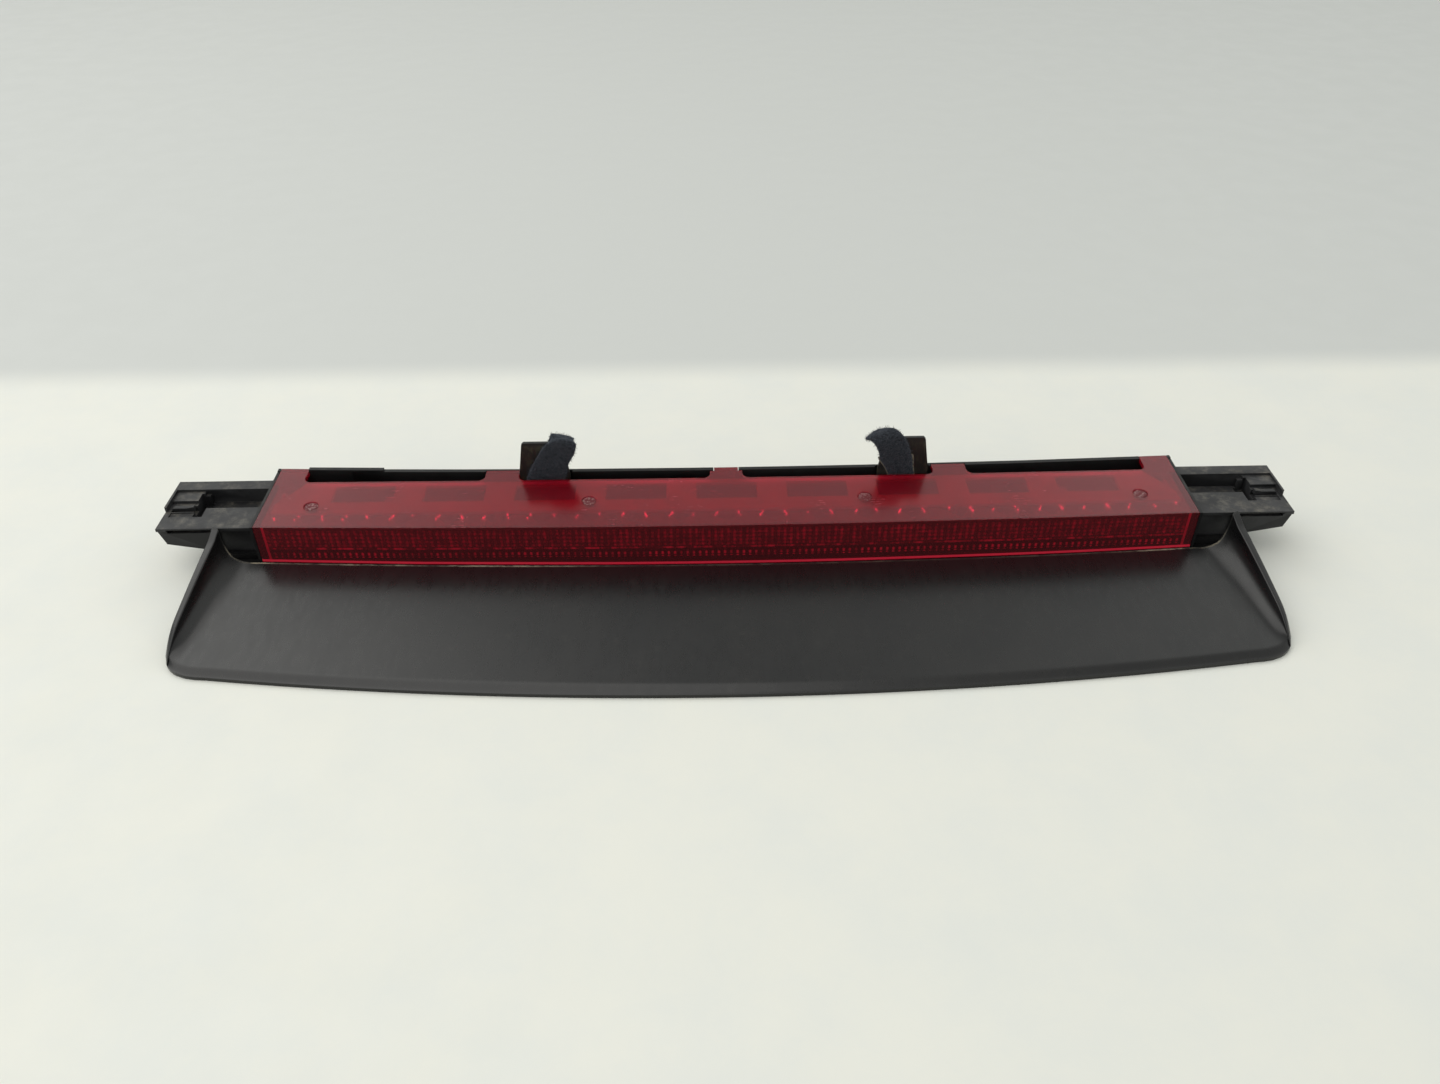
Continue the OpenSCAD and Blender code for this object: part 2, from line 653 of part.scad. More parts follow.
module board_screws() {
    color([0.6, 0.6, 0.62])
        placed() for (x = board_screw_x)
            translate([x, board_screw_y, board_top]) mirror([0, 0, 1]) screw(6, 1.2, 2.6, 1.5);
}

visor();
housing();
outer_lens();
inner_optic();
reflector_frame();
circuit_board();
leds();
resistors();
diodes();
voltage_regulator();
capacitors();
connector_socket();
terminal_pins();
end_block_left();
end_block_right();
snap_tongue_left();
snap_tongue_right();
rear_tab_left();
rear_tab_right();
felt_left();
felt_right();
lens_stakes();
visor_screws();
end_block_screws();
board_screws();
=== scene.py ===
"""Looks of a high-mount brake lamp: a bowed red lens on a black housing, guide blocks at both ends,
sprung rear tabs with felt pads, and a scoop-shaped visor.

Lengths are millimetres in the lamp's own coordinates, where Y = 0 is the lens's front face at its ends
and Z = 0 is the ground. at() turns them into the frame's metres.
"""
import math
import random

import bmesh
import bpy
from mathutils import Matrix, Vector, noise


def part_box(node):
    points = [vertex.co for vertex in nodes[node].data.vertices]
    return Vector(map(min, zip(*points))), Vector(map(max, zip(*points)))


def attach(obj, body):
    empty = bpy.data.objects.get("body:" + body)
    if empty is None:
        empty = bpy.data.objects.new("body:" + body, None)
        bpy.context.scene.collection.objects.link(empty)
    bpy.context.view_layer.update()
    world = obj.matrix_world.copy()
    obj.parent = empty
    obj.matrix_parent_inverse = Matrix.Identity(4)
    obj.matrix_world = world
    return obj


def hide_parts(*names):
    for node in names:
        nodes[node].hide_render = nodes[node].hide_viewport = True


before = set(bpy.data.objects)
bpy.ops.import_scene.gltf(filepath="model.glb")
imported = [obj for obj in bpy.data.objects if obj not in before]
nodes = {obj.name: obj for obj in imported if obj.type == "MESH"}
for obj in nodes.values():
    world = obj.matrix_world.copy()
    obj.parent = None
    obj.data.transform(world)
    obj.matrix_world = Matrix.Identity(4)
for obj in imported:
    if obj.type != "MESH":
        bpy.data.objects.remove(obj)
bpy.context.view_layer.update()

MM = 0.001

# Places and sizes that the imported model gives
lens_low, lens_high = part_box("outer_lens")
visor_low, visor_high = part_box("visor")
FRONT_BOW = 3.4                                   # how far the lens's front bows forward at its middle
MIDDLE_BOW = 1.4                                  # the same for the optic and the reflector frame
LENS_Y = lens_low.y + FRONT_BOW * MM
HALF = lens_high.x / MM
LENS_TOP = lens_high.z / MM
LENS_FOOT = lens_low.z / MM
VISOR_HALF = visor_high.x / MM
VISOR_REACH = (LENS_Y - visor_low.y) / MM
CELL = 18.7                                       # distance between neighbouring light-emitting diodes
CELLS = 20


def at(x, y, z):
    """A point of the lamp's own coordinates, in the frame's metres."""
    return Vector((x * MM, y * MM + LENS_Y, z * MM))


def bow(x, sag):
    """How far a bowed edge lies from its ends' line, at x."""
    return -sag * (1 - (x / HALF) ** 2)


def smooth(t):
    t = min(1, max(0, t))
    return t * t * (3 - 2 * t)


# ---------------------------------------------------------------- shader nodes

def put(tree, socket, value):
    """Links value to a socket, or sets it there."""
    if isinstance(value, bpy.types.NodeSocket):
        tree.links.new(value, socket)
    else:
        socket.default_value = value


def math_node(tree, operation, a, b=0.0):
    node = tree.nodes.new("ShaderNodeMath")
    node.operation = operation
    put(tree, node.inputs[0], a)
    put(tree, node.inputs[1], b)
    return node.outputs[0]


def eased(tree, value, low, high, out_low=0.0, out_high=1.0):
    """value from low..high, clamped and eased, to out_low..out_high."""
    node = tree.nodes.new("ShaderNodeMapRange")
    node.interpolation_type = "SMOOTHSTEP"
    numbers = {"From Min": low, "From Max": high, "To Min": out_low, "To Max": out_high}
    for socket, number in numbers.items():
        node.inputs[socket].default_value = number
    put(tree, node.inputs["Value"], value)
    return node.outputs[0]


# ---------------------------------------------------------------- camera, light and ground

def make_camera():
    """A phone camera above and in front of the lamp, looking down at it."""
    place = Vector((-0.00802, -0.35140, 0.29492))
    pitch, yaw, roll = math.radians(37.34), math.radians(-0.746), math.radians(0.466)
    data = bpy.data.cameras.new("camera")
    data.lens = 28.75
    data.sensor_width = 36
    data.clip_start = 0.01
    camera = bpy.data.objects.new("camera", data)
    turn = (Matrix.Rotation(yaw, 4, "Z") @ Matrix.Rotation(math.pi / 2 - pitch, 4, "X")
            @ Matrix.Rotation(-roll, 4, "Z"))
    camera.matrix_world = Matrix.Translation(place) @ turn
    bpy.context.scene.collection.objects.link(camera)
    bpy.context.scene.camera = camera


def area_light(name, place, aim, size, watts, colour):
    data = bpy.data.lights.new(name, "AREA")
    data.shape = "DISK"
    data.size = size
    data.energy = watts
    data.color = colour
    light = bpy.data.objects.new(name, data)
    light.location = place
    light.rotation_euler = (Vector(aim) - Vector(place)).to_track_quat("-Z", "Y").to_euler()
    bpy.context.scene.collection.objects.link(light)


def make_lights():
    """Even room light, brighter towards both rear corners, and one large soft ceiling light."""
    everywhere, left_corner, right_corner = 0.61, 1.0, 0.62
    scene = bpy.context.scene
    scene.view_settings.view_transform = "Standard"
    world = bpy.data.worlds.new("room")
    scene.world = world
    world.use_nodes = True
    tree = world.node_tree
    background = tree.nodes["Background"]
    background.inputs["Color"].default_value = (0.965, 0.985, 0.955, 1)
    way = tree.nodes.new("ShaderNodeTexCoord")
    split = tree.nodes.new("ShaderNodeSeparateXYZ")
    tree.links.new(way.outputs["Generated"], split.inputs[0])
    across, back, up = split.outputs
    sides = math_node(tree, "ADD", eased(tree, across, -0.1, -0.55, 0, left_corner),
                      eased(tree, across, 0.06, 0.5, 0, right_corner))
    rear = math_node(tree, "MULTIPLY", eased(tree, back, 0.15, 0.6), eased(tree, up, 0.2, 0.5))
    strength = math_node(tree, "ADD", math_node(tree, "MULTIPLY", sides, rear), everywhere)
    tree.links.new(strength, background.inputs["Strength"])
    area_light("ceiling_light", (-0.8, 0.1, 1.6), (0, 0, 0), 2.4, 17, (1, 0.98, 0.95))


# ---------------------------------------------------------------- materials

class Surface:
    """One material: a Principled shader, and short calls for the nodes that feed it."""

    def __init__(self, name, **sockets):
        self.material = bpy.data.materials.new(name)
        self.material.use_nodes = True
        self.tree = self.material.node_tree
        self.shader = self.tree.nodes["Principled BSDF"]
        for socket, value in sockets.items():
            self.shader.inputs[socket.replace("_", " ")].default_value = value
        coordinates = self.tree.nodes.new("ShaderNodeTexCoord")
        self.place = coordinates.outputs["Object"]
        self.normal = coordinates.outputs["Normal"]
        split = self.tree.nodes.new("ShaderNodeSeparateXYZ")
        self.tree.links.new(self.place, split.inputs[0])
        self.x, self.y, self.z = split.outputs

    def put(self, node, socket, value):
        """Links value to a node's socket, or sets it there."""
        put(self.tree, node.inputs[socket], value)

    def math(self, operation, a, b=0.0):
        return math_node(self.tree, operation, a, b)

    def ramp(self, value, low, high, out_low=0.0, out_high=1.0):
        """value from low..high, clamped and eased, to out_low..out_high."""
        return eased(self.tree, value, low, high, out_low, out_high)

    def mottle(self, size, detail=2.0, stretch=(1, 1, 1), rough=0.5):
        """Noise whose blotches are about size millimetres wide."""
        mapping = self.tree.nodes.new("ShaderNodeMapping")
        mapping.inputs["Scale"].default_value = [s / (size * MM) for s in stretch]
        self.put(mapping, "Vector", self.place)
        node = self.tree.nodes.new("ShaderNodeTexNoise")
        node.inputs["Scale"].default_value = 1
        node.inputs["Detail"].default_value = detail
        node.inputs["Roughness"].default_value = rough
        self.put(node, "Vector", mapping.outputs[0])
        return node.outputs["Fac"]

    def specks(self, pitch, radius):
        """1 inside scattered round specks, up to radius wide, one per pitch on average."""
        node = self.tree.nodes.new("ShaderNodeTexVoronoi")
        node.inputs["Scale"].default_value = 1 / (pitch * MM)
        self.put(node, "Vector", self.place)
        return self.ramp(node.outputs["Distance"], radius / pitch, 0.6 * radius / pitch)

    def wave(self, axis, pitch, power=1.0, shift=0.0):
        """Repeats along an axis: 1 at every multiple of pitch millimetres, 0 half way between."""
        turned = self.math("MULTIPLY_ADD", axis, 2 * math.pi / (pitch * MM))
        turned.node.inputs[2].default_value = -2 * math.pi * shift / pitch
        half = self.math("MULTIPLY_ADD", self.math("COSINE", turned), 0.5)
        half.node.inputs[2].default_value = 0.5
        return self.math("POWER", half, power) if power != 1 else half

    def band(self, axis, low, high, soft=0.3):
        """1 where the axis is between low and high millimetres."""
        rise = self.ramp(axis, (low - soft) * MM, (low + soft) * MM)
        fall = self.ramp(axis, (high - soft) * MM, (high + soft) * MM, 1, 0)
        return self.math("MULTIPLY", rise, fall)

    def facing_up(self, low=0.6, high=0.95):
        node = self.tree.nodes.new("ShaderNodeSeparateXYZ")
        self.put(node, 0, self.normal)
        return self.ramp(node.outputs[2], low, high)

    def worn_edge(self, low=0.52, high=0.6):
        geometry = self.tree.nodes.new("ShaderNodeNewGeometry")
        return self.ramp(geometry.outputs["Pointiness"], low, high)

    def mix(self, factor, a, b):
        """Colour a where the factor is 0, and b where it is 1."""
        node = self.tree.nodes.new("ShaderNodeMix")
        node.data_type = "RGBA"
        self.put(node, 0, factor)
        for socket, colour in ((6, a), (7, b)):
            self.put(node, socket, colour if isinstance(colour, bpy.types.NodeSocket) else (*colour, 1))
        return node.outputs[2]

    def colour(self, value):
        self.put(self.shader, "Base Color", value)

    def roughness(self, value):
        self.put(self.shader, "Roughness", value)

    def bump(self, height, depth, strength=1.0):
        """Raises the surface by depth millimetres times the height."""
        node = self.tree.nodes.new("ShaderNodeBump")
        node.inputs["Distance"].default_value = depth * MM
        node.inputs["Strength"].default_value = strength
        self.put(node, "Height", height)
        if self.shader.inputs["Normal"].is_linked:
            self.put(node, "Normal", self.shader.inputs["Normal"].links[0].from_socket)
        self.put(self.shader, "Normal", node.outputs[0])


DUST = (0.34, 0.31, 0.25)


def moulded(name, colour, gloss, grain=0.35, depth=0.02, worn=0.35, dusty=0.12):
    """Black or grey moulded plastic: spark-eroded grain, cloudy sheen, paler worn edges and settled dust."""
    s = Surface(name, Specular_IOR_Level=0.26)
    pale = [min(1, 2.2 * c + 0.02) for c in colour]
    cloudy = s.ramp(s.mottle(9, 4), 0.35, 0.7)
    tone = s.mix(s.math("MULTIPLY", cloudy, 0.5), colour, [1.5 * c for c in colour])
    scuffs = s.ramp(s.mottle(3, 6, (0.25, 1, 1), 0.7), 0.55, 0.75)
    edges = s.math("MULTIPLY", s.worn_edge(), s.math("MULTIPLY", s.mottle(4, 3), 2 * worn))
    tone = s.mix(edges, tone, pale)
    settled = s.math("MULTIPLY", s.facing_up(), s.ramp(s.mottle(6, 8, rough=0.7), 0.45, 0.8, 0, dusty))
    tone = s.mix(settled, tone, DUST)
    s.colour(tone)
    s.roughness(s.math("ADD", s.ramp(cloudy, 0, 1, gloss - 0.06, gloss + 0.06),
                       s.math("MULTIPLY", scuffs, 0.12)))
    s.bump(s.mottle(grain, 2), depth)
    return s.material


def visor_plastic():
    """Semi-matt grey-black: very fine grain, broad faint cloudiness, thin dust, a few pale specks, and a
    painted dark-red reflection of the lens towards its rear edge.
    """
    s = Surface("visor_plastic")
    cloudy = s.ramp(s.mottle(28, 5), 0.3, 0.7)
    tone = s.mix(cloudy, (0.005, 0.005, 0.0055), (0.0085, 0.008, 0.008))
    edges = s.math("MULTIPLY", s.worn_edge(0.55, 0.65), 0.12)
    tone = s.mix(edges, tone, (0.06, 0.06, 0.055))
    film = s.math("MULTIPLY", s.facing_up(0.5, 1), s.ramp(s.mottle(5, 10, rough=0.75), 0.52, 0.8, 0, 0.03))
    tone = s.mix(film, tone, DUST)
    tone = s.mix(s.math("MULTIPLY", s.specks(19, 0.32), s.ramp(s.mottle(60), 0.5, 0.62)), tone,
                 (0.3, 0.29, 0.26))
    # Painted reflection: towards the lens the colour turns dark red, standing in for the red lens mirrored
    # in the semi-matt floor.
    lens_reflection_paint = s.math("MULTIPLY", s.ramp(s.y, LENS_Y - 19 * MM, LENS_Y - 2 * MM, 0, 0.75),
                       s.band(s.x, 4 - HALF, HALF - 4, 7))
    s.colour(s.mix(lens_reflection_paint, tone, (0.026, 0.006, 0.008)))
    s.roughness(s.ramp(s.mottle(3, 6, (1, 0.3, 1), 0.65), 0.3, 0.75, 0.26, 0.33))
    s.bump(s.mottle(0.42, 2), 0.008)
    return s.material


def dusty_edge():
    """The visor's rear edge, where cream dust and old sealant have gathered."""
    s = Surface("visor_rear_edge")
    patchy = s.ramp(s.mottle(9, 3, (0.5, 1, 1)), 0.38, 0.55, 0.35, 1)
    caked = s.math("MULTIPLY", s.ramp(s.mottle(2.2, 6, (0.5, 1, 1), 0.7), 0.36, 0.6), patchy)
    caked = s.math("MULTIPLY", caked, s.ramp(s.z, 17 * MM, 11 * MM))
    ends = s.math("MAXIMUM", s.ramp(s.x, -40 * MM, -90 * MM, 0.15, 1),
                  s.ramp(s.x, 150 * MM, 178 * MM, 0.15, 1))
    caked = s.math("MULTIPLY", caked, ends)
    s.colour(s.mix(caked, (0.012, 0.012, 0.011), (0.30, 0.26, 0.19)))
    s.roughness(s.ramp(caked, 0, 1, 0.5, 0.9))
    s.bump(s.mottle(0.6, 4), 0.08)
    return s.material


RED_CLEAR = (0.64, 0.012, 0.042)


def lens_plastic():
    """Red acrylic: smooth, with hair scratches, a dull film and a little haze inside."""
    s = Surface("lens_red", Transmission_Weight=0.87, IOR=1.49, Specular_IOR_Level=0.34)
    film = s.ramp(s.mottle(11, 6, rough=0.65), 0.4, 0.75)
    s.colour(s.mix(film, RED_CLEAR, (0.58, 0.016, 0.046)))
    hairs = s.ramp(s.mottle(0.5, 3, (0.06, 1, 1), 0.6), 0.55, 0.7)
    s.roughness(s.math("ADD", s.ramp(film, 0, 1, 0.19, 0.27), s.math("MULTIPLY", hairs, 0.03)))
    s.bump(hairs, 0.0015)
    return s.material


def front_optics():
    """The lens's front wall: flutes above, a thin line, and two rows of small pillows below it, with the
    light and shade of these optics painted into the colour and a painted edge-lit rim along its foot.
    """
    s = Surface("lens_front", IOR=1.49, Roughness=0.06)
    z = s.z
    # Painted light and shade: bright where the flutes, the line and the pillows catch light, dark red
    # between them, and a bright border at both ends.
    flutes = s.ramp(s.wave(s.x, FLUTE, 2), 0, 1, 0.3, 1)
    patches = s.ramp(s.mottle(3.4, 6, (1, 1, 0.8), 0.7), 0.38, 0.66, 0.25, 1)
    ledges = s.ramp(s.wave(z, 1.9), 0, 1, 0.45, 1)
    upper = s.math("MULTIPLY", s.math("MULTIPLY", flutes, patches),
                   s.math("MULTIPLY", ledges, s.band(z, 16.4, 24.4)))
    line = s.math("MULTIPLY", s.band(z, 15.1, 16.0, 0.3),
                  s.ramp(s.mottle(5, 4, (1, 0.3, 0.3), 0.7), 0.45, 0.64, 0.1, 0.8))
    dots = s.math("MULTIPLY", s.wave(s.x, FLUTE, 3, FLUTE / 2), s.ramp(s.mottle(9, 2), 0.35, 0.6, 0.3, 1))
    rows_of_dots = s.math("ADD", s.band(z, 12.1, 13.5, 0.3), s.band(z, 11.1, 11.6, 0.2))
    lower = s.math("MULTIPLY", dots, rows_of_dots)
    painted_optic_light = s.math("ADD", s.math("ADD", s.math("MULTIPLY", upper, 0.62), line), lower)
    inside = s.band(s.x, 4.2 - HALF, HALF - 4.2, 0.3)
    border = s.math("ADD", s.band(s.x, -HALF + 3.2, -HALF + 4.2, 0.2),
                    s.band(s.x, HALF - 4.2, HALF - 3.2, 0.2))
    painted_optic_light = s.math("ADD", s.math("MULTIPLY", painted_optic_light, inside), s.math("MULTIPLY", border, 0.6))
    # Painted highlight: a bright, nearly opaque red band along the wall's foot stands in for an edge-lit
    # rim.
    foot_rise = s.math("MULTIPLY", s.math("MULTIPLY", s.x, s.x), -2 * MM / (HALF * MM) ** 2)
    foot = s.band(s.math("ADD", z, foot_rise), 7.0, 8.2, 0.15)
    tone = s.mix(painted_optic_light, (0.13, 0.011, 0.016), (0.95, 0.022, 0.055))
    s.colour(s.mix(foot, tone, (0.9, 0.03, 0.07)))
    s.put(s.shader, "Transmission Weight", s.ramp(foot, 0, 1, 0.45, 0.05))
    s.bump(s.math("ADD", s.wave(s.x, FLUTE), s.wave(z, 1.6)), 0.004)
    return s.material


def clear_optic():
    s = Surface("optic_clear", Transmission_Weight=0.88, IOR=1.49)
    s.colour(s.mix(s.mottle(5, 3), (0.42, 0.42, 0.42), (0.3, 0.3, 0.3)))
    s.roughness(s.ramp(s.mottle(2, 3), 0.3, 0.7, 0.03, 0.12))
    s.bump(s.mottle(1.2, 2), 0.01)
    return s.material


def glinting():
    """Moulded facets, whose own emission stands in for the room's light that real ones gather."""
    s = Surface("bright_facets", Emission_Color=(1, 0.9, 0.95, 1), Emission_Strength=2.4)
    s.colour(s.mix(s.mottle(2), (0.98, 0.96, 0.96), (0.85, 0.83, 0.83)))
    s.roughness(s.ramp(s.mottle(1, 2), 0.3, 0.7, 0.25, 0.35))
    return s.material


def frame_plastic():
    """Pale reflector deck, a little yellowed and dusty."""
    s = Surface("frame_plastic")
    tone = s.mix(s.ramp(s.mottle(14, 5), 0.3, 0.7), (0.62, 0.60, 0.57), (0.5, 0.48, 0.45))
    s.colour(s.mix(s.ramp(s.mottle(2.5, 8, rough=0.7), 0.5, 0.8, 0, 0.5), tone, (0.3, 0.28, 0.26)))
    s.roughness(s.ramp(s.mottle(4, 4), 0.3, 0.7, 0.32, 0.5))
    s.bump(s.mottle(0.5, 3), 0.02)
    return s.material


def board_laminate():
    """Green solder mask over tracks, with tinned pads."""
    s = Surface("board")
    tracks = s.math("MAXIMUM", s.wave(s.y, 3.1, 6), s.math("MULTIPLY", s.wave(s.x, CELL / 2, 12), 0.8))
    tone = s.mix(tracks, (0.018, 0.075, 0.035), (0.05, 0.16, 0.07))
    pads = s.math("MULTIPLY", s.wave(s.x, CELL, 60, CELL / 2), s.wave(s.y, 6.2, 9, 1.6))
    tone = s.mix(s.ramp(pads, 0.3, 0.5), tone, (0.55, 0.54, 0.5))
    s.colour(s.mix(s.ramp(s.mottle(3, 5), 0.5, 0.8, 0, 0.2), tone, DUST))
    s.roughness(s.ramp(s.mottle(1.5, 3), 0.3, 0.7, 0.28, 0.42))
    s.bump(tracks, 0.03)
    return s.material


def led_resin():
    """Pinkish diode resin, paler where the reflector cup shows through."""
    s = Surface("led_resin", Transmission_Weight=0.35, IOR=1.5, Coat_Weight=0.6)
    s.colour(s.mix(s.ramp(s.mottle(2.2, 2), 0.4, 0.6), (0.85, 0.42, 0.38), (0.9, 0.62, 0.58)))
    s.roughness(s.ramp(s.mottle(1), 0.3, 0.7, 0.12, 0.25))
    return s.material


def component_epoxy():
    s = Surface("component_black")
    s.colour(s.mix(s.ramp(s.mottle(0.8, 4), 0.4, 0.7), (0.012, 0.012, 0.013), (0.04, 0.038, 0.036)))
    s.roughness(s.ramp(s.mottle(0.6, 3), 0.3, 0.7, 0.35, 0.55))
    s.bump(s.mottle(0.15, 2), 0.01)
    return s.material


def bare_metal(name, colour, gloss, dull):
    """Plated metal with fine scratches and a dull film."""
    s = Surface(name, Metallic=1.0)
    film = s.ramp(s.mottle(1.8, 6, rough=0.65), 0.4, 0.7)
    s.colour(s.mix(film, colour, dull))
    scratch = s.ramp(s.mottle(0.3, 3, (0.15, 1, 1)), 0.5, 0.7)
    s.roughness(s.math("ADD", s.ramp(film, 0, 1, gloss, gloss + 0.18), s.math("MULTIPLY", scratch, 0.1)))
    s.bump(scratch, 0.006)
    return s.material


def tab_plastic():
    """Black tab with olive, dusty glue left where the felt's tape has peeled off."""
    s = Surface("tab_plastic")
    above = s.band(s.z, 24, 40.3, 0.8)
    glue = s.math("MULTIPLY", above, s.ramp(s.mottle(2.6, 7, (1, 1, 0.5), 0.7), 0.47, 0.66))
    tone = s.mix(s.mottle(3, 3), (0.006, 0.006, 0.006), (0.013, 0.013, 0.011))
    s.colour(s.mix(glue, tone, (0.042, 0.036, 0.020)))
    s.roughness(s.ramp(glue, 0, 1, 0.42, 0.7))
    s.bump(glue, 0.05)
    return s.material


def felt_cloth(name, colour, tip):
    """Needled felt: matted fibres in small tufts, with a soft sheen."""
    s = Surface(name, Sheen_Weight=0.45, Sheen_Roughness=0.5, Sheen_Tint=(0.55, 0.62, 0.75, 1),
                Specular_IOR_Level=0.15)
    tufts = s.ramp(s.mottle(1.1, 8, rough=0.75), 0.32, 0.68)
    s.colour(s.mix(tufts, colour, tip))
    s.roughness(s.ramp(tufts, 0, 1, 0.85, 1))
    s.bump(s.mottle(0.35, 6, rough=0.8), 0.25)
    s.bump(tufts, 0.2)
    return s.material


def tape_backing():
    """Cream paper side of the felt's tape, with brown glue stains."""
    s = Surface("tape_backing")
    s.colour(s.mix(s.ramp(s.mottle(1.5, 6), 0.45, 0.7), (0.36, 0.32, 0.23), (0.14, 0.11, 0.07)))
    s.roughness(s.ramp(s.mottle(0.8, 3), 0.3, 0.7, 0.6, 0.85))
    s.bump(s.mottle(0.4, 4), 0.03)
    return s.material


def stake_plastic():
    """Heat-formed stake ends: milky, dimpled plastic."""
    s = Surface("stake_plastic", Transmission_Weight=0.2, Specular_IOR_Level=0.25)
    s.colour(s.mix(s.ramp(s.mottle(0.9, 5), 0.5, 0.66), (0.13, 0.004, 0.010), (0.36, 0.20, 0.20)))
    s.roughness(s.ramp(s.mottle(0.7), 0.3, 0.7, 0.3, 0.5))
    s.bump(s.mottle(0.8, 4), 0.12)
    return s.material


def ground_paint():
    """Plain pale floor with a barely visible unevenness."""
    s = Surface("ground_paint")
    far = s.ramp(s.y, 0.17, 0.2)
    near = s.mix(s.ramp(s.mottle(60, 8, rough=0.7), 0.3, 0.75), (0.80, 0.80, 0.735), (0.755, 0.77, 0.73))
    s.colour(s.mix(far, near, (0.595, 0.61, 0.59)))
    s.roughness(s.ramp(s.mottle(25, 4), 0.3, 0.7, 0.5, 0.65))
    return s.material


# ---------------------------------------------------------------- mesh helpers

def new_piece(name, points, faces, *materials):
    """A mesh object from points in metres."""
    mesh = bpy.data.meshes.new(name)
    mesh.from_pydata([tuple(p) for p in points], [], faces)
    mesh.validate()
    piece = bpy.data.objects.new(name, mesh)
    bpy.context.scene.collection.objects.link(piece)
    for material in materials:
        mesh.materials.append(material)
    return piece


def modifier(piece, kind, **settings):
    made = piece.modifiers.new(kind.lower(), kind)
    for name, value in settings.items():
        setattr(made, name, value)
    return made


def settle(piece):
    """Turns the piece's modifiers into its mesh."""
    bpy.context.view_layer.update()
    graph = bpy.context.evaluated_depsgraph_get()
    mesh = bpy.data.meshes.new_from_object(piece.evaluated_get(graph), depsgraph=graph)
    piece.modifiers.clear()
    piece.data = mesh
    return mesh


def combine(piece, other, operation):
    """Unites the piece with another solid, or cuts that out of it, and removes the other one."""
    modifier(piece, "BOOLEAN", operation=operation, object=other, solver="MANIFOLD")
    settle(piece)
    bpy.data.objects.remove(other)


def shade(piece, sharp_angle=32):
    mesh = piece.data
    mesh.polygons.foreach_set("use_smooth", [True] * len(mesh.polygons))
    mesh.set_sharp_from_angle(angle=math.radians(sharp_angle))
    mesh.update()


def box_points(x, y, z):
    return [at(a, b, c) for c in z for b in y for a in x]


BOX_FACES = [(0, 2, 3, 1), (4, 5, 7, 6), (0, 1, 5, 4), (2, 6, 7, 3), (0, 4, 6, 2), (1, 3, 7, 5)]


def solid_boxes(name, boxes):
    """One mesh of several boxes, each given by its x, y and z ranges."""
    points, faces = [], []
    for x, y, z in boxes:
        faces += [tuple(i + len(points) for i in face) for face in BOX_FACES]
        points += box_points(x, y, z)
    return new_piece(name, points, faces)


def solid_cylinder(name, x, y, z0, z1, radius, sides=32):
    ring = [(radius * math.cos(2 * math.pi * i / sides), radius * math.sin(2 * math.pi * i / sides))
            for i in range(sides)]
    points = [at(x + a, y + b, z) for z in (z0, z1) for a, b in ring]
    faces = [(i, (i + 1) % sides, (i + 1) % sides + sides, i + sides) for i in range(sides)]
    faces += [tuple(range(sides - 1, -1, -1)), tuple(range(sides, 2 * sides))]
    return new_piece(name, points, faces)


# ---------------------------------------------------------------- visor

SIDE_REAR = 4.6
CORNER_W, CORNER_D, FRONT_SAG = 16.3, 12.7, 13.6
SIDE_FRONT = CORNER_D - VISOR_REACH + FRONT_SAG
VISOR_WALL, FRONT_TOP = 2.4, 2.6
LIP_REAR_Z, SWEEP_R = 23.2, 11.5
ARM_X = (-140, -50, 50, 140)
ARM_W, ARM_LOW, ARM_TOP, ARM_SCREW_Y = 15, 2, 3.9, 22


def outer_x(v):
    return VISOR_HALF - 5.7 * (1 - v ** 0.8)


def rear_y(x):
    reach = (abs(x) - HALF - 10) / (VISOR_HALF - 5.7 - HALF - 10)
    return -0.5 + bow(min(abs(x), HALF), FRONT_BOW) + (SIDE_REAR + 0.5) * smooth(reach)


def front_y(x):
    a, straight = min(VISOR_HALF, abs(x)), VISOR_HALF - CORNER_W
    if a < straight:
        return FRONT_SAG * (a / straight) ** 2 - VISOR_REACH
    turn = 1 - math.sqrt(max(0, 1 - ((a - straight) / CORNER_W) ** 2))
    return FRONT_SAG - VISOR_REACH + CORNER_D * turn


def floor_top(x, v):
    rear = 6.9 + 2 * (min(abs(x), HALF) / HALF) ** 2
    return rear + (FRONT_TOP - rear) * v ** 0.9 - 1.1 * smooth((v - 0.93) / 0.07)


def lip_top(v):
    y = SIDE_REAR + (SIDE_FRONT - SIDE_REAR) * v
    sloping = LIP_REAR_Z - 3 + 0.31 * y + 0.35 * max(0, y) - 4.2 * (max(0, -32 - y) / 14) ** 2
    return min(LIP_REAR_Z, sloping)


def lip_thick(v):
    return 3.2 - v


def side_points(v, top, steps):
    """One half's points from the lip towards the middle: [distance in from the outer line, z]."""
    thick, width, z = lip_thick(v), SWEEP_R - 7 * v, floor_top(VISOR_HALF, v)
    height = max(0.3, lip_top(v) - z)
    fold = min(SWEEP_R, max(0, height - 0.8))
    angles = [math.pi / 2 * k / steps for k in range(steps + 1)]
    if top:
        rim = min(0.7, height / 2)
        crown = [(rim * (1 - math.cos(a)), z + height - rim * (1 - math.sin(a))) for a in angles[::2]]
        crown += [(thick - rim * (1 - math.sin(a)), z + height - rim * (1 - math.cos(a)))
                  for a in angles[::2]]
        return crown + [(thick + 0.02 + width * (1 - math.cos(a)), z + fold * (1 - math.sin(a)))
                        for a in angles]
    low = max(0, z - VISOR_WALL)
    turn = z + fold - 0.1 * VISOR_WALL
    start = z + height - min(0.7, height / 2) - 0.1
    count = 2 * len(angles[::2])
    wall = [(0.02 * k / count, start + (turn - start) * k / count) for k in range(count)]
    return wall + [(0.08 + (width + thick) * (1 - math.cos(a)), low + (turn - low) * (1 - math.sin(a)))
                   for a in angles]


